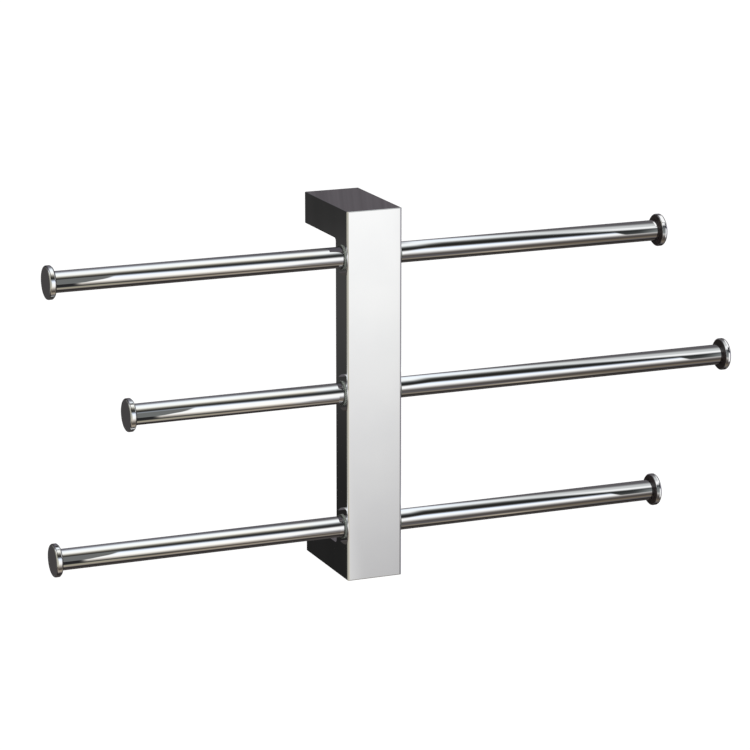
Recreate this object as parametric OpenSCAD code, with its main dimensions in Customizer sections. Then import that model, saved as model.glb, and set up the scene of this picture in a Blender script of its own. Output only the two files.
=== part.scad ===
// Wall towel rack: one bridge-shaped bracket that carries three sliding rails.
// +X runs along the rails to the right, +Y points into the wall and +Z is up.
// The origin is on the wall, midway between the bracket's two feet.
// Each rail passes through the bracket's post in two plastic bushes and slides along X.

/* [Bracket] */
// Height of the bracket
bracket_h = 285; // [240:1:340]
// Width of the bracket, measured along the rails
bracket_w = 44; // [40:1:60]
// How far the bracket stands out from the wall
bracket_d = 85.5; // [65:0.5:110]
// Thickness of the upright post, from its front face to the gap behind it
post_t = 23; // [22:0.5:30]
// Height of each of the two legs that reach back to the wall
leg_h = 24; // [20:0.5:30]
// Rounding of the post's two upright edges
edge_r = 1.6; // [0.8:0.1:2]
// Rounding of the bracket's other outer edges
end_edge_r = 0.6; // [0.3:0.1:1.5]
// Rounding of the two corners between the post and the legs
inner_corner_r = 2.5; // [1:0.5:6]
// Wall thickness of the hollow bracket
bracket_wall = 2.4; // [1.5:0.1:3.5]

/* [Rails] */
// Outer diameter of a rail
rail_d = 16; // [12:0.5:17]
// Wall thickness of a rail's tube
rail_wall = 1; // [0.8:0.1:1.5]
// Length of a rail over its two end caps
rail_l = 495; // [350:1:700]
// How far the top and the bottom rail are pushed to the right at rest
outer_shift = -3.5; // [-120:0.5:120]
// How far the middle rail is pushed to the right at rest
middle_shift = 55; // [-120:1:120]
// Free height between the upper leg and the top bushes
top_space = 3; // [1:0.5:20]
// Free height between the lower leg and the bottom bushes
bottom_space = 7; // [1:0.5:20]

/* [End caps] */
// Diameter of an end cap
cap_d = 25; // [20:0.5:30]
// Thickness of an end cap's disc
cap_t = 4.5; // [4:0.5:8]
// Rounding of the disc's outer edge
cap_outer_r = 1.5; // [0.5:0.1:2]
// Rounding of the disc's edge towards the rail
cap_inner_r = 0.9; // [0.4:0.1:1.6]
// Length of the spigot that fits inside the rail
spigot_l = 8; // [4:0.5:15]
// Radial play of the spigot inside the rail
spigot_play = 0.1; // [0.05:0.05:0.3]
// Thickness of the dark washer on the cap's side towards the rail
washer_t = 0.5; // [0.3:0.1:1.2]
// Rounding of the washer's outer edge
washer_edge_r = 0.2; // [0.1:0.05:0.25]

/* [Cap fixings] */
// Thread diameter of the stud that holds a cap
stud_d = 6; // [4:0.5:8]
// Length of the stud
stud_l = 16; // [12:0.5:24]
// Width across the flats of the stud's hexagon socket
stud_hex = 3; // [2:0.5:4]
// Depth of the stud's hexagon socket
stud_hex_l = 3; // [1:0.5:5]
// How far the stud's blind hole goes into the cap's disc
stud_sink = 1; // [0.5:0.1:2]
// Free length at the bottom of the blind hole
stud_gap = 0.5; // [0.2:0.1:1]
// Length of the threaded insert pressed into the rail
insert_l = 10; // [6:0.5:20]
// Free length between the spigot and the insert
insert_gap = 0.5; // [0.2:0.1:2]

/* [Bushes] */
// Wall thickness of a bush's sleeve
sleeve_wall = 0.7; // [0.5:0.1:1.5]
// Length of the sleeve inside the post
sleeve_l = 10; // [6:0.5:19]
// Thickness of the bush's rim on the post's side
rim_t = 1.2; // [0.8:0.1:2]
// How far the rim reaches past the hole in the post
rim_lip = 0.5; // [0.3:0.1:1.2]
// Rounding of the rim's outer edge
rim_r = 0.3; // [0.1:0.05:0.5]
// Radial play of the rail in its bushes
running_play = 0.06; // [0.03:0.01:0.1]

/* [Wall plates] */
// Depth of a wall plate
plate_l = 14; // [12:0.5:16]
// Thickness of the plate's base against the wall
plate_base = 4; // [2:0.5:5]
// Thickness of the rim around the plate
plate_rim = 3; // [2:0.5:3.5]
// Play between a plate and the hollow leg around it
plate_play = 0.3; // [0.1:0.1:0.5]
// Distance between a plate's two screw holes
screw_spacing = 22; // [16:1:24]
// Diameter of a screw hole
screw_hole_d = 5.5; // [4:0.5:6]

/* [Grub screws] */
// Thread diameter of a grub screw
grub_d = 5; // [3:0.5:6]
// Distance from the wall to a grub screw
grub_y = 9; // [7.5:0.5:11]
// How deep a grub screw sits below the leg's surface
grub_recess = 0.3; // [0.1:0.1:1]
// How deep a grub screw bites into the wall plate
grub_bite = 1; // [0.5:0.1:1.5]
// Width across the flats of the hexagon socket
grub_hex = 2.5; // [1.5:0.5:3]
// Depth of the hexagon socket
grub_hex_l = 2; // [1:0.5:2.5]

/* [Hidden] */
// Radial play of threads and of pieces pressed into a bore
seat_play = 0.03;
// Extra length that lets a cut pass its faces
overrun = 1;
// Sides of a hexagon socket
hex_sides = 6;
// Smoothness of round shapes
$fn = 96;

CHROME = [0.80, 0.81, 0.83];
ZINC = [0.62, 0.64, 0.66];
STEEL = [0.45, 0.46, 0.48];
BRASS = [0.78, 0.65, 0.35];
CLEAR_PLASTIC = [0.55, 0.60, 0.54];
RUBBER = [0.10, 0.09, 0.09];

LEFT = -1;
RIGHT = 1;

rail_r = rail_d / 2;
rail_bore_r = rail_r - rail_wall;
rail_y = -bracket_d + post_t / 2;
tube_l = rail_l - 2 * cap_t;
tube_end = tube_l / 2;

bush_bore_r = rail_r + running_play;
sleeve_r = bush_bore_r + sleeve_wall;
post_bore_r = sleeve_r + seat_play;
rim_outer_r = post_bore_r + rim_lip;

// Heights of the three rails: the outer two keep clear of the legs
top_z = bracket_h / 2 - leg_h - top_space - rim_outer_r;
bottom_z = -bracket_h / 2 + leg_h + bottom_space + rim_outer_r;
middle_z = (top_z + bottom_z) / 2;
rail_heights = [top_z, middle_z, bottom_z];

leg_z = bracket_h / 2 - leg_h / 2;
hollow_w = bracket_w - 2 * bracket_wall;
plate_w = hollow_w - 2 * plate_play;
plate_h = leg_h - 2 * bracket_wall - 2 * plate_play;

cap_r = cap_d / 2;
// The washer covers the flat part of the cap's side towards the rail
washer_r = cap_r - cap_inner_r;
stud_r = stud_d / 2;
grub_r = grub_d / 2;
// A grub screw passes the leg's wall and the play, and bites into the plate
grub_l = bracket_wall - grub_recess + plate_play + grub_bite;

// Flat rectangle with round corners, centred
module rounded_rect(w, h, r) {
    square([w - 2 * r, h], center = true);
    square([w, h - 2 * r], center = true);
    for (x = [-1, 1], y = [-1, 1])
        translate([x * (w / 2 - r), y * (h / 2 - r)])
            circle(r);
}

// Flat outline that starts at the wall and has round corners at its front only
module fronted_rect(depth, w, r) {
    intersection() {
        translate([-depth, -w / 2])
            square([depth, w]);
        translate([-depth / 2 + r, 0])
            rounded_rect(depth + 2 * r, w, r);
    }
}

// Side outline of the gap behind the post, grown by a margin and open at the wall
module gap_outline(margin) {
    gap_l = bracket_d - post_t + margin;
    gap_h = bracket_h - 2 * leg_h + 2 * margin;
    corner_r = inner_corner_r + margin;
    translate([-gap_l / 2 + corner_r, 0])
        rounded_rect(gap_l + 2 * corner_r, gap_h, corner_r);
}

// Side outline of the bracket: the post in front and a leg at each end
module bracket_outline() {
    difference() {
        fronted_rect(bracket_d, bracket_h, end_edge_r);
        gap_outline(0);
    }
}

// Side outline of the hollow inside the bracket, open at the wall
module hollow_outline() {
    difference() {
        translate([-bracket_d + bracket_wall, -bracket_h / 2 + bracket_wall])
            square([bracket_d - bracket_wall + overrun, bracket_h - 2 * bracket_wall]);
        gap_outline(bracket_wall);
    }
}

// Shape drawn in the side view, made solid across a width
module across(w) {
    translate([-w / 2, 0, 0])
        rotate([90, 0, 90])
            linear_extrude(w)
                children();
}

// Solid bracket with all its outer edges rounded
module bracket_blank() {
    intersection() {
        across(bracket_w)
            bracket_outline();
        translate([0, 0, -bracket_h / 2])
            rotate([0, 0, 90])
                linear_extrude(bracket_h)
                    fronted_rect(bracket_d, bracket_w, edge_r);
        rotate([90, 0, 0])
            linear_extrude(bracket_d)
                rounded_rect(bracket_w, bracket_h, end_edge_r);
    }
}

// Threaded hole for a grub screw, through the lower wall of one leg
module grub_hole(side) {
    translate([0, -grub_y, side * leg_z - leg_h / 2 - overrun])
        cylinder(r = grub_r + seat_play, h = bracket_wall + 2 * overrun);
}

module bracket() {
    color(CHROME)
        difference() {
            bracket_blank();
            across(hollow_w)
                hollow_outline();
            for (z = rail_heights)
                translate([-bracket_w / 2 - overrun, rail_y, z])
                    rotate([0, 90, 0])
                        cylinder(r = post_bore_r, h = bracket_w + 2 * overrun);
            for (side = [-1, 1])
                grub_hole(side);
        }
}

// Cast plate that is screwed to the wall and that a leg slides over
module wall_plate(side) {
    color(ZINC)
        translate([0, 0, side * leg_z])
            difference() {
                translate([-plate_w / 2, -plate_l, -plate_h / 2])
                    cube([plate_w, plate_l, plate_h]);
                translate([-plate_w / 2 + plate_rim, -plate_l - overrun, -plate_h / 2 + plate_rim])
                    cube([plate_w - 2 * plate_rim, plate_l - plate_base + overrun, plate_h - 2 * plate_rim]);
                for (x = [-1, 1])
                    translate([x * screw_spacing / 2, overrun, 0])
                        rotate([90, 0, 0])
                            cylinder(d = screw_hole_d, h = plate_base + 2 * overrun);
                translate([0, -grub_y, -plate_h / 2 - overrun])
                    cylinder(r = grub_r + plate_play, h = grub_bite + overrun);
            }
}

// Headless screw along Z with a hexagon socket in its lower end
module socket_screw(r, l, hex, hex_l) {
    color(STEEL)
        difference() {
            cylinder(r = r, h = l);
            translate([0, 0, -overrun])
                cylinder(d = hex / cos(180 / hex_sides), h = hex_l + overrun, $fn = hex_sides);
        }
}

module grub_screws() {
    for (side = [-1, 1])
        translate([0, -grub_y, side * leg_z - leg_h / 2 + grub_recess])
            socket_screw(grub_r, grub_l, grub_hex, grub_hex_l);
}

// Puts children, drawn along +Z from the post's side face outwards, at one bush
module at_bush(side, z) {
    translate([side * bracket_w / 2, rail_y, z])
        rotate([0, side * 90, 0])
            children();
}

// Outline of a flat ring that starts at height 0 and has its upper outer edge rounded
module ring_outline(inner_r, outer_r, t, round_r) {
    translate([inner_r, 0])
        square([outer_r - inner_r, t - round_r]);
    translate([inner_r, 0])
        square([outer_r - inner_r - round_r, t]);
    translate([outer_r - round_r, t - round_r])
        circle(round_r);
}

// Outline of a bush: the sleeve goes into the post and the rim stays outside
module bush_outline() {
    translate([bush_bore_r, -sleeve_l])
        square([sleeve_wall, sleeve_l + rim_t / 2]);
    ring_outline(bush_bore_r, rim_outer_r, rim_t, rim_r);
}

module bush(side, z) {
    color(CLEAR_PLASTIC)
        at_bush(side, z)
            rotate_extrude()
                bush_outline();
}

module rail_tube(shift, z) {
    color(CHROME)
        translate([shift - tube_end, rail_y, z])
            rotate([0, 90, 0])
                difference() {
                    cylinder(r = rail_r, h = tube_l);
                    translate([0, 0, -overrun])
                        cylinder(r = rail_bore_r, h = tube_l + 2 * overrun);
                }
}

// Puts children, drawn along +Z from the tube's end outwards, at one end of a rail
module at_rail_end(side, shift, z) {
    translate([shift + side * tube_end, rail_y, z])
        rotate([0, side * 90, 0])
            children();
}

// Outline of the cap's disc: its face towards the rail is at height 0
module disc_outline() {
    square([cap_r - cap_inner_r, cap_t - cap_outer_r]);
    translate([0, cap_inner_r])
        square([cap_r, cap_t - cap_inner_r - cap_outer_r]);
    translate([0, cap_inner_r])
        square([cap_r - cap_outer_r, cap_t - cap_inner_r]);
    translate([cap_r - cap_inner_r, cap_inner_r])
        circle(cap_inner_r);
    translate([cap_r - cap_outer_r, cap_t - cap_outer_r])
        circle(cap_outer_r);
}

module end_cap(side, shift, z) {
    color(CHROME)
        at_rail_end(side, shift, z)
            difference() {
                union() {
                    rotate_extrude()
                        disc_outline();
                    translate([0, 0, -spigot_l])
                        cylinder(r = rail_bore_r - spigot_play, h = spigot_l + cap_t / 2);
                }
                translate([0, 0, -spigot_l - overrun])
                    cylinder(r = stud_r + seat_play, h = spigot_l + stud_sink + overrun);
            }
}

// Dark washer around the rail's end: it lies against the cap and meets the bush at the end of the travel
module washer(side, shift, z) {
    color(RUBBER)
        at_rail_end(side, shift, z)
            rotate([180, 0, 0])
                rotate_extrude()
                    ring_outline(rail_r + seat_play, washer_r, washer_t, washer_edge_r);
}

// Threaded insert that is pressed into the rail behind the cap's spigot
module insert(side, shift, z) {
    color(BRASS)
        at_rail_end(side, shift, z)
            translate([0, 0, -spigot_l - insert_gap - insert_l])
                difference() {
                    cylinder(r = rail_bore_r - seat_play, h = insert_l);
                    translate([0, 0, -overrun])
                        cylinder(r = stud_r + seat_play, h = insert_l + 2 * overrun);
                }
}

module studs(shift, z) {
    for (side = [LEFT, RIGHT])
        at_rail_end(side, shift, z)
            translate([0, 0, stud_sink - stud_gap - stud_l])
                socket_screw(stud_r, stud_l, stud_hex, stud_hex_l);
}

bracket();
wall_plate(1);  // upper_wall_plate
wall_plate(-1);  // lower_wall_plate
grub_screws();
bush(LEFT, top_z);  // top_left_bush
bush(RIGHT, top_z);  // top_right_bush
bush(LEFT, middle_z);  // middle_left_bush
bush(RIGHT, middle_z);  // middle_right_bush
bush(LEFT, bottom_z);  // bottom_left_bush
bush(RIGHT, bottom_z);  // bottom_right_bush
rail_tube(outer_shift, top_z);  // top_rail
end_cap(LEFT, outer_shift, top_z);  // top_left_cap
end_cap(RIGHT, outer_shift, top_z);  // top_right_cap
washer(LEFT, outer_shift, top_z);  // top_left_washer
washer(RIGHT, outer_shift, top_z);  // top_right_washer
insert(LEFT, outer_shift, top_z);  // top_left_insert
insert(RIGHT, outer_shift, top_z);  // top_right_insert
studs(outer_shift, top_z);  // top_studs
rail_tube(middle_shift, middle_z);  // middle_rail
end_cap(LEFT, middle_shift, middle_z);  // middle_left_cap
end_cap(RIGHT, middle_shift, middle_z);  // middle_right_cap
washer(LEFT, middle_shift, middle_z);  // middle_left_washer
washer(RIGHT, middle_shift, middle_z);  // middle_right_washer
insert(LEFT, middle_shift, middle_z);  // middle_left_insert
insert(RIGHT, middle_shift, middle_z);  // middle_right_insert
studs(middle_shift, middle_z);  // middle_studs
rail_tube(outer_shift, bottom_z);  // bottom_rail
end_cap(LEFT, outer_shift, bottom_z);  // bottom_left_cap
end_cap(RIGHT, outer_shift, bottom_z);  // bottom_right_cap
washer(LEFT, outer_shift, bottom_z);  // bottom_left_washer
washer(RIGHT, outer_shift, bottom_z);  // bottom_right_washer
insert(LEFT, outer_shift, bottom_z);  // bottom_left_insert
insert(RIGHT, outer_shift, bottom_z);  // bottom_right_insert
studs(outer_shift, bottom_z);  // bottom_studs
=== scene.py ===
import math

import bpy
import numpy as np
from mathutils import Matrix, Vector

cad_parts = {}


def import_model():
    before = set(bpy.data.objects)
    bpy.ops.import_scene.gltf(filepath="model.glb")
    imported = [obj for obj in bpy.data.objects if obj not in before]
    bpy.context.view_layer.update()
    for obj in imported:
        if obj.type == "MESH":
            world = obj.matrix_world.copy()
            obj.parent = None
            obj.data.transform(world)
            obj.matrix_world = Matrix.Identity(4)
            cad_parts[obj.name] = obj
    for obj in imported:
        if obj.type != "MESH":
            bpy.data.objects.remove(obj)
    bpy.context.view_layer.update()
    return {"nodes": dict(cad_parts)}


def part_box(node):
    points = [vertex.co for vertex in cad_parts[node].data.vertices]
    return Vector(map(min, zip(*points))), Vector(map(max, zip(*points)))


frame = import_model()

# Camera, from a least squares fit to the photograph. Angles in degrees, lengths in metres.
CAMERA_YAW = 22.575
CAMERA_PITCH = 14.115
CAMERA_DISTANCE = 2.4709
CAMERA_TARGET = (0.00016, -0.0855, 0.01652)
CAMERA_LENS = 158.4
CAMERA_SENSOR = 36.0
CAMERA_CLIP = (0.05, 60.0)

# Pale floor and world, which the camera sees as white.
FLOOR_HEIGHT = -1.2
FLOOR_HALF = 40.0
FLOOR_GLOW = 0.2
FLOOR_DARK = (0.87, 0.87, 0.87)
FLOOR_LIGHT = (0.89, 0.89, 0.89)
FLOOR_CLOUD_SCALE, FLOOR_CLOUD_DETAIL = 3.0, 4.0
SKY_LEVEL = 0.5

# Soft lamps: azimuth, elevation, width of the light in degrees and strength.
LAMPS = {
    "key_lamp": (-35.0, 50.0, 25.0, 1.5),
    "fill_lamp": (60.0, 35.0, 40.0, 0.6),
}

# Studio surround, in metres: a tube round the X axis with a flat bottom, that only reflections see.
SURROUND_RADIUS = 2.0
SURROUND_HALF_LENGTH = 2.6
SURROUND_BOTTOM = 1.15
SURROUND_ANGLE_STEPS = 720
SURROUND_LENGTH_STEPS = 260
SURROUND_END_RINGS = 24
SURROUND_HUB = 0.001
LIGHT_ATTRIBUTE = "light"
CHROME_REFLECTS = 0.86

# Fine streaks on the part of the surround behind the rack, which the bracket's top mirrors.
STREAK_STRETCH = (1, 0.01, 0.01)
STREAK_SCALE, STREAK_DETAIL, STREAK_ROUGHNESS = 240, 4.0, 0.65
STREAK_LEVELS = (0.8, 1.22)
STREAKS_FROM_Y = (1.2, 1.8)

# From here on angles go round the rails in degrees: 0 in front, 90 overhead, 180 behind, -90 below.
# A band is its lower edge, that edge's softness, its upper edge and that edge's softness.
# A step is where it starts and where it ends. Levels and tints are as the picture displays them.
WHITE = (1.0, 1.0, 1.0)
BEIGE = (1.0, 0.99, 0.92)

# Edges, softness and levels of the main panels at these places along X.
PANEL_X = (0.412, 0.548, 0.684, 0.712, 0.828, 0.850, 0.901, 0.974, 1.038, 1.110, 1.164, 1.237)
OVERHEAD_TOP = (116, 111, 102, 101, 115, 142, 136, 122, 112, 102, 94, 88)
OVERHEAD_BOTTOM = (57, 54.5, 52, 53, 66, 80, 77, 72, 60, 47, 38, 34)
OVERHEAD_SOFT = (20, 20, 20, 20, 22, 24, 24, 22, 14, 11, 10, 10)
OVERHEAD_LEVEL = (0.985, 0.985, 0.985, 0.985, 0.98, 0.975, 0.96, 0.92, 0.83, 0.79, 0.78, 0.78)
FRONT_TOP = (27, 21, 16, 16, 24, 32, 30, 27, 24, 22, 21, 20)
FRONT_BOTTOM = (-29, -31, -33, -25.4, -24.6, -15, -15, -15, -15, -15, -15, -15)
FRONT_SOFT = (24, 23, 22, 20, 20, 22, 22, 21, 20, 20, 20, 20)
STRIP = (-61, -65, -68, -66, -61, -58, -56, -55, -57, -58, -58, -58)
STRIP_LEVEL = (0.58, 0.43, 0.55, 0.67, 0.4, 0.39, 0.41, 0.41, 0.41, 0.41, 0.41, 0.41)

# Steps along X towards what the rails mirror beside the post and on its right.
NEAR_POST_X = (0.412, 0.684)
RIGHT_X = (0.756, 0.829)

# Ground in front, over the plain surround.
PLAIN = (0.35, 0.335, 0.35)
GROUND_BAND = (-60.0, 5.0, -10.0, 5.0)
GROUND_LEVEL, GROUND_NEAR_POST, GROUND_RIGHT = 0.26, 0.08, -0.05
GROUND_TINT = (1.0, 0.97, 1.0)

# Behind the rack, with angles that go on past 180. BACK is dark and on the left, where the post's side
# mirrors it, and darker still above its upper and below its lower step. CORNER is the far left corner.
# HIGH is the paler part high up, which the rails' upper edges mirror.
ANGLE_SEAM = -150.0
BACK_LEVEL, BACK_UPPER_DROP, BACK_LOWER_DROP = 0.24, 0.055, 0.117
BACK_UPPER_ANGLE, BACK_LOWER_ANGLE = (188.5, 191.0), (191.5, 202.0)
BACK_X, BACK_ANGLE, BACK_TINT = (-0.65, 0.167), (120.0, 165.0), (1.0, 0.99, 0.98)
CORNER_X, CORNER_ANGLE, CORNER_LEVEL = (-1.257, -1.13), (150.0, 175.0), 0.6
HIGH_BAND, HIGH_X, HIGH_END_X = (70.0, 10.0, 152.0, 6.0), (0.12, 0.3), (0.88, 1.02)
HIGH_LEVEL, HIGH_NEAR_POST, HIGH_RIGHT = 0.44, -0.08, 0.14
HIGH_TINT = (1.0, 0.98, 1.01)

# Dark flag between the overhead and the front softbox. It laps under the overhead one.
FLAG_BOTTOM, FLAG_SOFT, FLAG_LAP = 0.0, 8.0, 8.0
FLAG_LEVEL, FLAG_RIGHT, FLAG_TINT = 0.17, -0.03, (1.0, 1.02, 1.02)

# Overhead softboxes, and the bright line along the lower edge of the one above the rack.
OVERHEAD_TOP_SOFT, OVERHEAD_TINT = 20.0, (0.985, 1.0, 1.0)
OVERHEAD_X, OVERHEAD_FAR_X = (-0.332, -0.06), (-1.33, -1.06)
LINE_BOTTOM, LINE_BOTTOM_SOFT, LINE_TOP, LINE_TOP_SOFT = 1.0, 10.0, 20.0, 8.0
LINE_X, LINE_LEVEL = (0.992, 1.137), 0.97

# Front softbox and its dimmer side panels.
FRONT_TOP_SOFT, FRONT_LEVEL, FRONT_TINT = 12.0, 0.985, (1.0, 1.0, 0.995)
FRONT_LEFT_X, FRONT_LEFT_LEVEL = (-0.47, -0.2), 0.72
FRONT_RIGHT_X, FRONT_RIGHT_LEVEL, FRONT_RIGHT_TINT = (1.346, 1.618), 0.62, (0.98, 0.96, 1.06)

# Strip of light on the floor in front of the rack, round its angle in STRIP, the shade below it, and a
# paler part straight below the rack.
STRIP_BELOW, STRIP_BOTTOM_SOFT, STRIP_ABOVE, STRIP_TOP_SOFT = 11.0, 5.0, 7.0, 6.0
STRIP_TINT = (1.05, 0.98, 0.88)
SHADE_BAND, SHADE_LEVEL, SHADE_RIGHT, SHADE_TINT = (-150.0, 4.0, -79.0, 5.0), 0.16, -0.02, (1.08, 0.98, 0.93)
BELOW_BAND, BELOW_LEVEL, BELOW_TINT = (-150.0, 4.0, -102.0, 6.0), 0.25, (1.04, 0.99, 0.97)

# How warm (above 0) or cold (below 0) the studio is at these angles, what a warmth of 1 adds to red,
# green and blue, and where it is neutral: where the front face mirrors, and overhead at the far right.
WARMTH_ANGLE = (-60, -48, -33, -21, -9, 3, 14, 26, 37, 49, 61, 74, 88, 103, 143, 160)
WARMTH = (0, 0.1, 0.06, 0.035, 0.005, 0, -0.045, -0.075, 0.02, 0.085, 0.045, 0.02, 0, -0.02, -0.03, 0)
WARMTH_ADDS = (0.6, 0.0, -1.0)
FACE_X, FACE_END_X = (0.66, 0.69), (0.825, 0.85)
FAR_RIGHT_X, OVERHEAD_ANGLE = (0.9, 1.05), (25.0, 35.0)

# The surround's left (-1) and right (1) end: its colour, the step along Y where its lighter front part
# ends, and that part's level and tint.
ENDS = {
    -1: ((0.6, 0.594, 0.552), (-0.6, 0.0), 0.73, (1.0, 0.98, 0.91)),
    1: ((0.36, 0.345, 0.36), (-0.9, 0.6), 0.52, (0.97, 0.94, 1.06)),
}

# Sheets close round the rails, in metres. Heights go from -1 to 1 across a rail as the camera sees it.
SHEET_RADIUS = 0.014
SHEET_STEP = 0.001
SHEET_ROWS_PER_HEIGHT = 100
SHEET_BOTTOM = -0.99
SHEET_TOPS = {"top": 0.3, "middle": 0.97, "bottom": 0.97}
SHEET_VIEW_SHIFT = 0.015
POST_CLEARANCE_LEFT = 0.0265
POST_CLEARANCE_RIGHT = 0.0236
MM_PER_M = 1000.0

# Cards at a rail's left end. They lie this much lower than on the top rail, or higher if it is below 0.
# Where they lie lower, the studio's bands below this step do too.
LEFT_SHIFT = {"top": 0.0, "middle": 0.09, "bottom": -0.03}
SHIFTED_BELOW = (-0.35, -0.1)
# The grey card's slanting edge: mm from the rail's end at these heights.
SLANT_HEIGHT = (-0.25, -0.17, -0.12, -0.04, 0.05, 0.17)
SLANT_LENGTH = (22.7, 30.0, 36.0, 40.5, 43.0, 47.0)
SLANT_SOFT = 2.5
GREY_BAND, GREY_LEVEL, GREY_TINT = (-0.26, 0.03, 0.17, 0.04), 0.42, (1.0, 1.02, 1.01)
# The others: band of heights, step in mm from the rail's end where the card fades out, level and tint.
LEFT_CARDS = (
    ((-0.56, 0.03, -0.46, 0.03), (60.0, 110.0), 0.28, (1.0, 0.99, 0.95)),
    ((-0.51, 0.04, -0.26, 0.03), (13.0, 21.0), 0.15, (1.0, 1.0, 1.02)),
    ((-0.67, 0.03, -0.56, 0.03), (30.0, 80.0), 0.62, (1.0, 0.97, 0.86)),
)

# Dark wedge at a rail's right end. Its length in mm grows with the height, by other slopes above and
# below the middle, and its upper edge falls towards the rail's end. Its lower part and the part at the
# rail's end are lighter.
WEDGE_LENGTH, WEDGE_LENGTH_ABOVE, WEDGE_LENGTH_BELOW, WEDGE_LENGTH_SOFT = 36.5, 20.0, 32.0, 1.5
WEDGE_BOTTOM, WEDGE_BOTTOM_SOFT, WEDGE_TOP_SOFT = -0.21, 0.05, 0.04
WEDGE_TOP, WEDGE_TOP_AT, WEDGE_TOP_SLOPE = 0.17, 37.0, 0.0028
WEDGE_LEVEL, WEDGE_TINT = 0.18, (0.97, 1.0, 1.0)
WEDGE_LOW_HEIGHT, WEDGE_LOW_ADDS = (-0.15, 0.1), 0.08
WEDGE_END_LENGTH, WEDGE_END_ADDS = (0.0, 22.0), 0.24

# Card round a right cap's rim, in metres: radius, and first, last and step along X from the rail's end.
# Then first, last and step round the rim in degrees, the card's colour, and the band, level and tint of
# what is laid over it: white with a dark notch above, brown and then dark below.
RIM_RADIUS = 0.018
RIM_X = (0.0018, 0.0085, 0.001)
RIM_TURN = (125.0, -125.0, -2.0)
RIM_COLOUR = (0.33, 0.315, 0.33)
RIM_BANDS = (
    ((-28.0, 6.0, 98.0, 14.0), 0.97, WHITE),
    ((17.0, 5.0, 44.0, 5.0), 0.17, (0.97, 1.0, 1.02)),
    ((-75.0, 6.0, -34.0, 6.0), 0.36, (1.04, 0.98, 0.92)),
    ((-180.0, 1.0, -81.0, 5.0), 0.16, (1.08, 0.98, 0.95)),
)

# Card behind a left cap's face, in metres: along X from the rail's end, along Z from its middle, and Y.
FACE_CARD_X = (-0.05, -0.008)
FACE_CARD_Z = (-0.045, 0.014)
FACE_CARD_Y = -0.03
FACE_CARD_POINTS = 3
FACE_CARD_COLOUR = (0.262, 0.254, 0.255)

# Metals and rubber: dark and light colour, how the fine lines are stretched along the axes, their scale,
# the least and most roughness, the scale of the smudges, and the lines' bump: its strength and its depth
# in metres.
EVEN = (1, 1, 1)
CHROME = ((0.845, 0.85, 0.86), (0.875, 0.88, 0.885))
METALS = {
    "chrome_bracket": (*CHROME, (1, 1, 0.04), 900, (0.02, 0.05), 22, (0.015, 0.00001)),
    "chrome_rail": (*CHROME, (0.03, 1, 1), 1200, (0.015, 0.04), 30, (0.015, 0.00001)),
    "chrome_cap": (*CHROME, EVEN, 700, (0.02, 0.06), 60, (0.015, 0.00001)),
    "plate_steel": (
        (0.52, 0.53, 0.54), (0.66, 0.67, 0.68), (0.03, 1, 1), 2500, (0.28, 0.45), 60, (0.25, 0.00005),
    ),
    "screw_steel": (
        (0.30, 0.31, 0.33), (0.44, 0.45, 0.47), EVEN, 1800, (0.3, 0.45), 150, (0.2, 0.00004),
    ),
    "insert_brass": (
        (0.66, 0.50, 0.24), (0.80, 0.65, 0.36), (0.05, 1, 1), 1800, (0.25, 0.42), 120, (0.2, 0.00004),
    ),
}
RUBBER = ((0.012, 0.007, 0.007), (0.022, 0.013, 0.013), EVEN, 2200, (0.42, 0.6), 240, (0.2, 0.00003))
SMUDGE_DETAIL, LINES_DETAIL, LINES_ROUGHNESS = 4.0, 3.0, 0.6
ROUGH_FROM_LINES, ROUGH_FROM_SMUDGES = 0.6, 0.4

# Bush plastic. A rim's side ends and its face begins this far from the middle of the rack, in metres.
BUSH_RIM_SIDE, BUSH_RIM_FACE = 0.0227, 0.0231
# The rim side's colours carry a painted highlight, paler than the plastic. The ring face's colours carry
# painted shade, darker than the plastic.
BUSH_SIDE_HIGHLIGHT_DARK, BUSH_SIDE_HIGHLIGHT_LIGHT = (0.26, 0.29, 0.26), (0.33, 0.36, 0.32)
BUSH_FACE_SHADE_DARK, BUSH_FACE_SHADE_LIGHT = (0.05, 0.055, 0.05), (0.08, 0.085, 0.075)
BUSH_IOR, BUSH_TRANSMISSION = 1.49, 0.3
BUSH_CLOUD_SCALE, BUSH_CLOUD_DETAIL = 160, 4.0
BUSH_GRAIN_SCALE, BUSH_GRAIN_DETAIL = 1500, 2.0
BUSH_ROUGHNESS, BUSH_BUMP = (0.2, 0.3), (0.02, 0.00001)


def smooth(edge0, edge1, value):
    """0 below edge0, 1 above edge1 and a smooth step between them."""
    t = np.clip((value - edge0) / (edge1 - edge0), 0.0, 1.0)
    return t * t * (3.0 - 2.0 * t)


def band(value, low, low_soft, high, high_soft):
    """1 between two edges, falling to 0 over a soft step on each side."""
    rise = smooth(low - low_soft, low + low_soft, value)
    fall = 1.0 - smooth(high - high_soft, high + high_soft, value)
    return rise * fall


def plain(shape, colour):
    """One colour everywhere."""
    return np.zeros(shape + (3,)) + np.array(colour)


def over(colour, mask, level, tint=WHITE):
    """Lays a card of one display level over the colours so far."""
    card = np.asarray(level)[..., None] * np.asarray(tint)
    return colour + (card - colour) * mask[..., None]


def to_linear(display):
    """Display colours as light."""
    display = np.clip(display, 0.0, None)
    return np.where(display <= 0.04045, display / 12.92, ((display + 0.055) / 1.055) ** 2.4)


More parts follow.
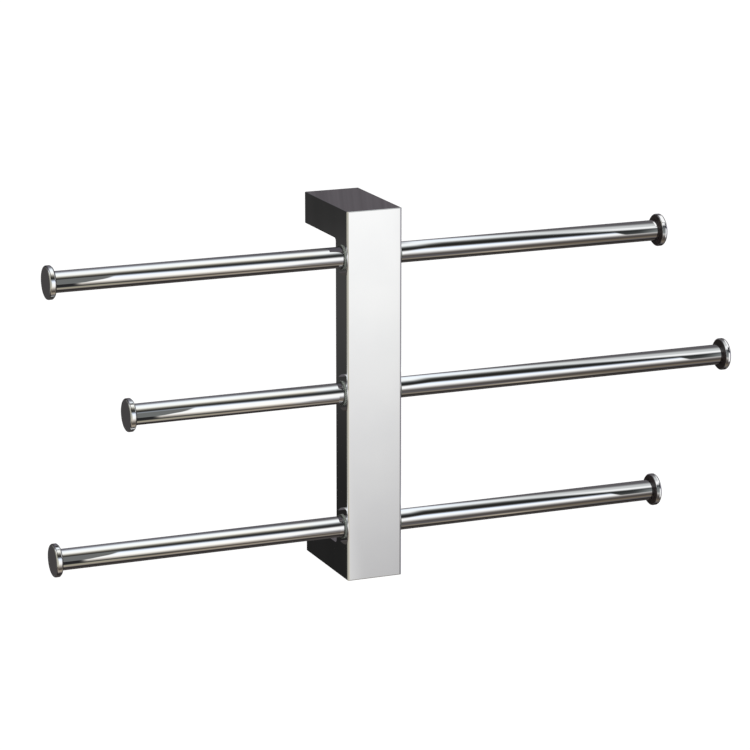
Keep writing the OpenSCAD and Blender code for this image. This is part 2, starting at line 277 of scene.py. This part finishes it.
def studio_light(x, y, z):
    """Display colours of the studio at these points of the surround."""
    angle = np.degrees(np.arctan2(z, -y))
    turned = np.where(angle < ANGLE_SEAM, angle + 360.0, angle)
    right = smooth(*RIGHT_X, x)
    near_post = smooth(*NEAR_POST_X, x)

    def at_x(table):
        return np.interp(x, PANEL_X, table)

    ground_level = GROUND_LEVEL + GROUND_NEAR_POST * near_post + GROUND_RIGHT * right
    colour = over(plain(x.shape, PLAIN), band(angle, *GROUND_BAND), ground_level, GROUND_TINT)

    # Behind the rack.
    level = BACK_LEVEL - BACK_LOWER_DROP * smooth(*BACK_LOWER_ANGLE, turned)
    level = level - BACK_UPPER_DROP * (1.0 - smooth(*BACK_UPPER_ANGLE, turned))
    back = (1.0 - smooth(*BACK_X, x)) * smooth(*BACK_ANGLE, turned)
    colour = over(colour, back, level, BACK_TINT)
    corner = (1.0 - smooth(*CORNER_X, x)) * smooth(*CORNER_ANGLE, turned)
    colour = over(colour, corner, CORNER_LEVEL, BEIGE)
    high = smooth(*HIGH_X, x) * band(angle, *HIGH_BAND)
    high_right = right * (1.0 - smooth(*HIGH_END_X, x))
    high_level = HIGH_LEVEL + HIGH_NEAR_POST * near_post + HIGH_RIGHT * high_right
    colour = over(colour, high, high_level, HIGH_TINT)

    # The flag below the overhead softbox.
    low = at_x(OVERHEAD_BOTTOM)
    flag = band(angle, FLAG_BOTTOM, FLAG_SOFT, low + FLAG_LAP, FLAG_SOFT)
    colour = over(colour, flag, FLAG_LEVEL + FLAG_RIGHT * right, FLAG_TINT)

    # Overhead softboxes: one above the rack, with the line at the far right, and one far out on the left.
    overhead = band(angle, low, at_x(OVERHEAD_SOFT), at_x(OVERHEAD_TOP), OVERHEAD_TOP_SOFT)
    overhead = overhead * (smooth(*OVERHEAD_X, x) + 1.0 - smooth(*OVERHEAD_FAR_X, x))
    colour = over(colour, overhead, at_x(OVERHEAD_LEVEL), OVERHEAD_TINT)
    line = band(angle, low + LINE_BOTTOM, LINE_BOTTOM_SOFT, low + LINE_TOP, LINE_TOP_SOFT)
    colour = over(colour, line * smooth(*LINE_X, x), LINE_LEVEL)

    # Front softbox and its side panels.
    front = band(angle, at_x(FRONT_BOTTOM), at_x(FRONT_SOFT), at_x(FRONT_TOP), FRONT_TOP_SOFT)
    colour = over(colour, front, FRONT_LEVEL, FRONT_TINT)
    colour = over(colour, front * (1.0 - smooth(*FRONT_LEFT_X, x)), FRONT_LEFT_LEVEL, BEIGE)
    colour = over(colour, front * smooth(*FRONT_RIGHT_X, x), FRONT_RIGHT_LEVEL, FRONT_RIGHT_TINT)

    # Light and shade on the floor in front of the rack.
    middle = at_x(STRIP)
    strip = band(angle, middle - STRIP_BELOW, STRIP_BOTTOM_SOFT, middle + STRIP_ABOVE, STRIP_TOP_SOFT)
    colour = over(colour, strip, at_x(STRIP_LEVEL), STRIP_TINT)
    colour = over(colour, band(angle, *SHADE_BAND), SHADE_LEVEL + SHADE_RIGHT * right, SHADE_TINT)
    colour = over(colour, band(angle, *BELOW_BAND), BELOW_LEVEL, BELOW_TINT)

    beside_face = 1.0 - smooth(*FACE_X, x) * (1.0 - smooth(*FACE_END_X, x))
    not_far_overhead = 1.0 - smooth(*FAR_RIGHT_X, x) * smooth(*OVERHEAD_ANGLE, angle)
    warmth = np.interp(angle, WARMTH_ANGLE, WARMTH) * beside_face * not_far_overhead
    return colour * (1.0 + warmth[..., None] * np.array(WARMTH_ADDS))


def studio_end(side, y):
    """Display colours of the flat left (-1) or right (1) end of the surround."""
    wall, front_y, level, tint = ENDS[side]
    return over(plain(y.shape, wall), 1.0 - smooth(*front_y, y), level, tint)


def end_cards(colour, height, from_left, from_right):
    """Adds the cards at a rail's ends, by the height across it and the distances from its ends in mm."""
    slant = np.interp(height, SLANT_HEIGHT, SLANT_LENGTH)
    grey = band(height, *GREY_BAND) * (1.0 - smooth(slant - SLANT_SOFT, slant + SLANT_SOFT, from_left))
    colour = over(colour, grey, GREY_LEVEL, GREY_TINT)
    for heights, fade, level, tint in LEFT_CARDS:
        colour = over(colour, band(height, *heights) * (1.0 - smooth(*fade, from_left)), level, tint)

    length = WEDGE_LENGTH + WEDGE_LENGTH_ABOVE * np.maximum(height, 0.0)
    length = length + WEDGE_LENGTH_BELOW * np.minimum(height, 0.0)
    top = WEDGE_TOP - WEDGE_TOP_SLOPE * (WEDGE_TOP_AT - from_right)
    wedge = band(height, WEDGE_BOTTOM, WEDGE_BOTTOM_SOFT, top, WEDGE_TOP_SOFT)
    wedge = wedge * (1.0 - smooth(length - WEDGE_LENGTH_SOFT, length + WEDGE_LENGTH_SOFT, from_right))
    level = WEDGE_LEVEL + WEDGE_LOW_ADDS * (1.0 - smooth(*WEDGE_LOW_HEIGHT, height))
    level = level + WEDGE_END_ADDS * (1.0 - smooth(*WEDGE_END_LENGTH, from_right))
    return over(colour, wedge, level, WEDGE_TINT)


def rim_card(turn):
    """Display colours round a right cap's rim."""
    colour = plain(turn.shape, RIM_COLOUR)
    for edges, level, tint in RIM_BANDS:
        colour = over(colour, band(turn, *edges), level, tint)
    return colour


def camera_place():
    """Where the camera stands."""
    yaw, pitch = math.radians(CAMERA_YAW), math.radians(CAMERA_PITCH)
    forward = (math.sin(yaw) * math.cos(pitch), math.cos(yaw) * math.cos(pitch), -math.sin(pitch))
    return [t - f * CAMERA_DISTANCE for t, f in zip(CAMERA_TARGET, forward)]


def new_material(name):
    """A material with nothing but its output, its node tree and that output."""
    material = bpy.data.materials.new(name)
    material.use_nodes = True
    tree = material.node_tree
    tree.nodes.clear()
    output = tree.nodes.new("ShaderNodeOutputMaterial")
    return material, tree, output


def join(tree, source, target):
    tree.links.new(source, target)


def math_node(tree, operation, *values):
    """One calculation on numbers and sockets."""
    node = tree.nodes.new("ShaderNodeMath")
    node.operation = operation
    for socket, value in zip(node.inputs, values):
        if isinstance(value, (int, float)):
            socket.default_value = value
        else:
            join(tree, value, socket)
    return node.outputs[0]


def own_coordinate(tree, axis):
    """The object's own coordinate along one axis."""
    place = tree.nodes.new("ShaderNodeTexCoord")
    split = tree.nodes.new("ShaderNodeSeparateXYZ")
    join(tree, place.outputs["Object"], split.inputs[0])
    return split.outputs[axis]


def noise(tree, stretch, scale, detail, roughness=0.5):
    """Noise in the object's own coordinates, stretched along the axes."""
    place = tree.nodes.new("ShaderNodeTexCoord")
    mapping = tree.nodes.new("ShaderNodeMapping")
    mapping.inputs["Scale"].default_value = stretch
    texture = tree.nodes.new("ShaderNodeTexNoise")
    texture.inputs["Scale"].default_value = scale
    texture.inputs["Detail"].default_value = detail
    texture.inputs["Roughness"].default_value = roughness
    join(tree, place.outputs["Object"], mapping.inputs["Vector"])
    join(tree, mapping.outputs["Vector"], texture.inputs["Vector"])
    return texture.outputs["Fac"]


def spread(tree, value, low, high, start=0.3, end=0.7):
    """Maps start..end, by default a noise's middle range, to low..high."""
    node = tree.nodes.new("ShaderNodeMapRange")
    node.inputs["From Min"].default_value = start
    node.inputs["From Max"].default_value = end
    node.inputs["To Min"].default_value = low
    node.inputs["To Max"].default_value = high
    join(tree, value, node.inputs["Value"])
    return node.outputs["Result"]


def two_colours(tree, value, dark, light, start=0.35, end=0.65):
    """Dark below start, light above end and a blend between them."""
    ramp = tree.nodes.new("ShaderNodeValToRGB")
    for stop, place, colour in zip(ramp.color_ramp.elements, (start, end), (dark, light)):
        stop.position = place
        stop.color = (*colour, 1.0)
    join(tree, value, ramp.inputs["Fac"])
    return ramp.outputs["Color"]


def bump(tree, height, strength, distance):
    node = tree.nodes.new("ShaderNodeBump")
    node.inputs["Strength"].default_value = strength
    node.inputs["Distance"].default_value = distance
    join(tree, height, node.inputs["Height"])
    return node.outputs["Normal"]


def metal(name, dark, light, stretch, grain, rough, smudge, wave, metallic=1.0):
    """A polished or brushed metal, or rubber: colour, smudges, fine lines and a slight waviness."""
    material, tree, output = new_material(name)
    shader = tree.nodes.new("ShaderNodeBsdfPrincipled")
    shader.inputs["Metallic"].default_value = metallic
    smudges = noise(tree, EVEN, smudge, SMUDGE_DETAIL)
    lines = noise(tree, stretch, grain, LINES_DETAIL, LINES_ROUGHNESS)
    from_smudges = math_node(tree, "MULTIPLY", smudges, ROUGH_FROM_SMUDGES)
    mixed = math_node(tree, "MULTIPLY_ADD", lines, ROUGH_FROM_LINES, from_smudges)
    join(tree, two_colours(tree, smudges, dark, light), shader.inputs["Base Color"])
    join(tree, spread(tree, mixed, *rough), shader.inputs["Roughness"])
    join(tree, bump(tree, lines, *wave), shader.inputs["Normal"])
    join(tree, shader.outputs["BSDF"], output.inputs["Surface"])
    return material


def bush_material():
    """Translucent plastic, with a painted highlight that lightens the rim's outer surface and painted shade
    that darkens the ring's front face.
    """
    material, tree, output = new_material("bush_plastic")
    shader = tree.nodes.new("ShaderNodeBsdfPrincipled")
    shader.inputs["Metallic"].default_value = 0.0
    shader.inputs["IOR"].default_value = BUSH_IOR
    shader.inputs["Transmission Weight"].default_value = BUSH_TRANSMISSION
    cloud = noise(tree, EVEN, BUSH_CLOUD_SCALE, BUSH_CLOUD_DETAIL)
    grain = noise(tree, EVEN, BUSH_GRAIN_SCALE, BUSH_GRAIN_DETAIL)
    outward = math_node(tree, "ABSOLUTE", own_coordinate(tree, "X"))
    # 1 on the ring's front face, with its painted shade, and 0 on the rim's side, with its painted highlight.
    shade_on_face = spread(tree, outward, 0.0, 1.0, BUSH_RIM_SIDE, BUSH_RIM_FACE)
    mixed = tree.nodes.new("ShaderNodeMix")
    mixed.data_type = "RGBA"
    join(tree, shade_on_face, mixed.inputs["Factor"])
    join(tree, two_colours(tree, cloud, BUSH_SIDE_HIGHLIGHT_DARK, BUSH_SIDE_HIGHLIGHT_LIGHT), mixed.inputs["A"])
    join(tree, two_colours(tree, cloud, BUSH_FACE_SHADE_DARK, BUSH_FACE_SHADE_LIGHT), mixed.inputs["B"])
    join(tree, mixed.outputs["Result"], shader.inputs["Base Color"])
    join(tree, spread(tree, grain, *BUSH_ROUGHNESS), shader.inputs["Roughness"])
    join(tree, bump(tree, grain, *BUSH_BUMP), shader.inputs["Normal"])
    join(tree, shader.outputs["BSDF"], output.inputs["Surface"])
    return material


def finishes():
    """The material of every piece of the part, by the piece's name."""
    made = {name: metal(name, *look) for name, look in METALS.items()}
    plastic = bush_material()
    rubber = metal("washer_rubber", *RUBBER, metallic=0.0)
    finish = {
        "bracket": made["chrome_bracket"],
        "upper_wall_plate": made["plate_steel"],
        "lower_wall_plate": made["plate_steel"],
        "grub_screws": made["screw_steel"],
    }
    for level in ("top", "middle", "bottom"):
        finish[level + "_rail"] = made["chrome_rail"]
        finish[level + "_studs"] = made["screw_steel"]
        for side in ("left", "right"):
            finish[f"{level}_{side}_bush"] = plastic
            finish[f"{level}_{side}_cap"] = made["chrome_cap"]
            finish[f"{level}_{side}_washer"] = rubber
            finish[f"{level}_{side}_insert"] = made["insert_brass"]
    return finish


def dress_part():
    """Gives every piece its material."""
    finish = finishes()
    for name, node in frame["nodes"].items():
        if not node.material_slots:
            node.data.materials.append(finish[name])
        for slot in node.material_slots:
            slot.material = finish[name]


def streaked(tree, colour):
    """The colour with fine streaks behind the rack."""
    lines = noise(tree, STREAK_STRETCH, STREAK_SCALE, STREAK_DETAIL, STREAK_ROUGHNESS)
    streaks = spread(tree, lines, *STREAK_LEVELS)
    behind = spread(tree, own_coordinate(tree, "Y"), 0.0, 1.0, *STREAKS_FROM_Y)
    offset = math_node(tree, "SUBTRACT", streaks, 1.0)
    scaled = tree.nodes.new("ShaderNodeVectorMath")
    scaled.operation = "SCALE"
    join(tree, colour, scaled.inputs[0])
    join(tree, math_node(tree, "MULTIPLY_ADD", offset, behind, 1.0), scaled.inputs["Scale"])
    return scaled.outputs["Vector"]


def light_material(name, streaks=False):
    """Glows with the light kept on the mesh."""
    material, tree, output = new_material(name)
    level = tree.nodes.new("ShaderNodeVertexColor")
    level.layer_name = LIGHT_ATTRIBUTE
    colour = level.outputs["Color"]
    emission = tree.nodes.new("ShaderNodeEmission")
    join(tree, streaked(tree, colour) if streaks else colour, emission.inputs["Color"])
    join(tree, emission.outputs["Emission"], output.inputs["Surface"])
    material.cycles.emission_sampling = "NONE"
    return material


def grid_faces(rows, columns, closed=False):
    """The faces between a grid's points, numbered row by row. If closed, each row is a ring."""
    index = np.arange(rows * columns).reshape(rows, columns)
    if closed:
        index = np.hstack([index, index[:, :1]])
    corners = (index[:-1, :-1], index[1:, :-1], index[1:, 1:], index[:-1, 1:])
    return np.stack(corners, -1).reshape(-1, 4)


def light_mesh(name, points, faces, colours, material):
    """A staged mesh that only reflections see, with a display colour kept on each point."""
    mesh = bpy.data.meshes.new(name)
    mesh.from_pydata(points.reshape(-1, 3).tolist(), [], faces.tolist())
    levels = to_linear(colours.reshape(-1, 3)) / CHROME_REFLECTS
    attribute = mesh.color_attributes.new(LIGHT_ATTRIBUTE, "FLOAT_COLOR", "POINT")
    attribute.data.foreach_set("color", np.hstack([levels, np.ones((len(levels), 1))]).ravel())
    mesh.materials.append(material)
    thing = bpy.data.objects.new(name, mesh)
    thing.visible_camera = False
    thing.visible_diffuse = False
    thing.visible_transmission = False
    thing.visible_volume_scatter = False
    thing.visible_shadow = False
    bpy.context.scene.collection.objects.link(thing)


def sheet(name, points, colours, material):
    """A staged sheet through a grid of points."""
    light_mesh(name, points, grid_faces(*points.shape[:2]), colours, material)


def surround():
    """The studio walls that the chrome mirrors."""
    angles = np.linspace(-math.pi, math.pi, SURROUND_ANGLE_STEPS, endpoint=False)
    reach = np.minimum(1.0, SURROUND_BOTTOM / SURROUND_RADIUS / np.maximum(-np.sin(angles), 0.001))
    ring_y = -np.cos(angles) * reach * SURROUND_RADIUS
    ring_z = np.sin(angles) * reach * SURROUND_RADIUS
    share = np.linspace(SURROUND_HUB, 1.0, SURROUND_END_RINGS + 1)[:, None]
    along = np.linspace(-SURROUND_HALF_LENGTH, SURROUND_HALF_LENGTH, SURROUND_LENGTH_STEPS + 1)[:, None]

    grids = []
    for side in ENDS:
        y, z = share * ring_y, share * ring_z
        x = np.full_like(y, side * SURROUND_HALF_LENGTH)
        grids.append((np.stack([x, y, z], -1), studio_end(side, y)))
    x, y, z = np.broadcast_arrays(along, ring_y, ring_z)
    grids.append((np.stack([x, y, z], -1), studio_light(x, y, z)))

    points, faces, colours, count = [], [], [], 0
    for grid, grid_colours in grids:
        faces.append(count + grid_faces(*grid.shape[:2], closed=True))
        points.append(grid.reshape(-1, 3))
        colours.append(grid_colours.reshape(-1, 3))
        count += len(points[-1])
    material = light_material("studio_surround", streaks=True)
    points, faces, colours = [np.concatenate(parts) for parts in (points, faces, colours)]
    light_mesh("studio_surround", points, faces, colours, material)


def to_tube(points, rays, radius):
    """How far rays go from points inside a tube round the X axis until they meet it."""
    y, z = points[..., 1], points[..., 2]
    along_y, along_z = rays[..., 1], rays[..., 2]
    a = along_y ** 2 + along_z ** 2
    b = y * along_y + z * along_z
    c = y ** 2 + z ** 2 - radius ** 2
    return (-b + np.sqrt(b * b - a * c)) / a


def beyond(points, rays):
    """The surround's display colours where these rays meet it, read SHEET_VIEW_SHIFT further along X."""
    down = rays[..., 2]
    to_bottom = np.where(down < 0.0, (-SURROUND_BOTTOM - points[..., 2]) / np.minimum(down, -1e-6), np.inf)
    distance = np.minimum(to_tube(points, rays, SURROUND_RADIUS), to_bottom)
    hit = points + rays * distance[..., None]
    return studio_light(hit[..., 0] + SHEET_VIEW_SHIFT, hit[..., 1], hit[..., 2])


def reflected(middle, radius, x, height):
    """Points on a rail at x and at a height across it as the camera sees it, and the rays mirrored there."""
    centre = np.stack([x, np.full_like(x, middle[1]), np.full_like(x, middle[2])], -1)
    look = centre - np.array(camera_place())
    look[..., 0] = 0.0
    facing = -look / np.linalg.norm(look, axis=-1, keepdims=True)
    upward = np.stack([np.zeros_like(x), facing[..., 2], -facing[..., 1]], -1)
    normal = facing * np.sqrt(1.0 - height ** 2)[..., None] + upward * height[..., None]
    points = centre + normal * radius
    ray = points - np.array(camera_place())
    ray /= np.linalg.norm(ray, axis=-1, keepdims=True)
    return points, ray - 2.0 * (ray * normal).sum(-1, keepdims=True) * normal


def rail_cards():
    """Sheets close round the rails, painted as the studio beyond them with the cards at the rails' ends
    added. They keep a rail and the post out of the reflections in the rails below, and show every rail what
    the top rail would mirror at the matching place. The top rail's sheets are open above, where that rail
    mirrors the bracket's upper leg. The cards at the caps are sheets too. None follows a rail that slides."""
    material = light_material("studio_card")
    top_low, top_high = [np.array(corner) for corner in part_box("top_rail")]
    top_middle = (top_low + top_high) / 2.0
    for level, top in SHEET_TOPS.items():
        low, high = [np.array(corner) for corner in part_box(level + "_rail")]
        middle = (low + high) / 2.0
        radius = (high[2] - low[2]) / 2.0
        heights = np.linspace(SHEET_BOTTOM, top, int(SHEET_ROWS_PER_HEIGHT * (top - SHEET_BOTTOM)))
        sides = (
            ("left", LEFT_SHIFT[level], low[0], -POST_CLEARANCE_LEFT, top_low[0], -POST_CLEARANCE_LEFT),
            ("right", 0.0, POST_CLEARANCE_RIGHT, high[0], POST_CLEARANCE_RIGHT, top_high[0]),
        )
        for side, shift, first, last, like_first, like_last in sides:
            x, height = np.meshgrid(np.arange(first, last + SHEET_STEP / 2.0, SHEET_STEP), heights)
            like_x = np.interp(x, (first, last), (like_first, like_last))
            like_height = height + max(shift, 0.0) * (1.0 - smooth(*SHIFTED_BELOW, height))
            colours = beyond(*reflected(top_middle, radius, like_x, like_height))
            from_left, from_right = (x - low[0]) * MM_PER_M, (high[0] - x) * MM_PER_M
            colours = end_cards(colours, height + shift, from_left, from_right)
            points, rays = reflected(middle, radius, x, height)
            distance = to_tube(points - middle, rays, SHEET_RADIUS)
            sheet(f"{level}_{side}_card", points + rays * distance[..., None], colours, material)

        # Round the right cap's rim.
        x, turn = np.meshgrid(np.arange(*RIM_X), np.radians(np.arange(*RIM_TURN)))
        y, z = middle[1] - RIM_RADIUS * np.cos(turn), middle[2] + RIM_RADIUS * np.sin(turn)
        sheet(f"{level}_rim_card", np.stack([high[0] + x, y, z], -1), rim_card(np.degrees(turn)), material)

        # Behind the left cap's face, which would mirror the same dark corner as the post otherwise.
        x = low[0] + np.linspace(*FACE_CARD_X, FACE_CARD_POINTS)
        x, z = np.meshgrid(x, middle[2] + np.linspace(*FACE_CARD_Z, FACE_CARD_POINTS))
        points = np.stack([x, np.full_like(x, FACE_CARD_Y), z], -1)
        sheet(f"{level}_face_card", points, plain(x.shape, FACE_CARD_COLOUR), material)


def seen_directly(tree):
    """1 for rays from the camera and for those that metal and glass send on, else 0."""
    path = tree.nodes.new("ShaderNodeLightPath")
    glossy = math_node(tree, "MAXIMUM", path.outputs["Is Camera Ray"], path.outputs["Is Glossy Ray"])
    return math_node(tree, "MAXIMUM", glossy, path.outputs["Is Transmission Ray"])


def world():
    """White where it is seen directly, dimmer as a light."""
    made = bpy.data.worlds.new("studio")
    made.use_nodes = True
    tree = made.node_tree
    tree.nodes.clear()
    output = tree.nodes.new("ShaderNodeOutputWorld")
    background = tree.nodes.new("ShaderNodeBackground")
    background.inputs["Color"].default_value = (*WHITE, 1.0)
    join(tree, spread(tree, seen_directly(tree), SKY_LEVEL, 1.0, 0.0, 1.0), background.inputs["Strength"])
    join(tree, background.outputs["Background"], output.inputs["Surface"])
    bpy.context.scene.world = made


def floor():
    """A plain pale floor that glows a little where it is seen directly."""
    mesh = bpy.data.meshes.new("studio_floor")
    sides = ((-1, -1), (1, -1), (1, 1), (-1, 1))
    corners = [(x * FLOOR_HALF, y * FLOOR_HALF, FLOOR_HEIGHT) for x, y in sides]
    mesh.from_pydata(corners, [], [(0, 1, 2, 3)])
    thing = bpy.data.objects.new("studio_floor", mesh)
    bpy.context.scene.collection.objects.link(thing)
    material, tree, output = new_material("studio_floor")
    matt = tree.nodes.new("ShaderNodeBsdfDiffuse")
    cloud = noise(tree, EVEN, FLOOR_CLOUD_SCALE, FLOOR_CLOUD_DETAIL)
    join(tree, two_colours(tree, cloud, FLOOR_DARK, FLOOR_LIGHT), matt.inputs["Color"])
    glow = tree.nodes.new("ShaderNodeEmission")
    glow.inputs["Color"].default_value = (*WHITE, 1.0)
    join(tree, math_node(tree, "MULTIPLY", seen_directly(tree), FLOOR_GLOW), glow.inputs["Strength"])
    both = tree.nodes.new("ShaderNodeAddShader")
    join(tree, matt.outputs["BSDF"], both.inputs[0])
    join(tree, glow.outputs["Emission"], both.inputs[1])
    join(tree, both.outputs["Shader"], output.inputs["Surface"])
    mesh.materials.append(material)


def soft_sun(name, azimuth, elevation, width, strength):
    """A very soft lamp far away, so that the floor is lit evenly. Reflections don't show it."""
    data = bpy.data.lights.new(name, "SUN")
    data.angle = math.radians(width)
    data.energy = strength
    thing = bpy.data.objects.new(name, data)
    thing.rotation_euler = (math.radians(90.0 - elevation), 0.0, math.radians(azimuth))
    thing.visible_glossy = False
    bpy.context.scene.collection.objects.link(thing)


def camera():
    """The photograph's camera."""
    data = bpy.data.cameras.new("camera")
    data.lens = CAMERA_LENS
    data.sensor_width = CAMERA_SENSOR
    data.clip_start, data.clip_end = CAMERA_CLIP
    thing = bpy.data.objects.new("camera", data)
    thing.location = camera_place()
    thing.rotation_euler = (math.radians(90.0 - CAMERA_PITCH), 0.0, -math.radians(CAMERA_YAW))
    bpy.context.scene.collection.objects.link(thing)
    bpy.context.scene.camera = thing


bpy.context.scene.view_settings.view_transform = "Standard"
dress_part()
surround()
rail_cards()
world()
floor()
for lamp, values in LAMPS.items():
    soft_sun(lamp, *values)
camera()
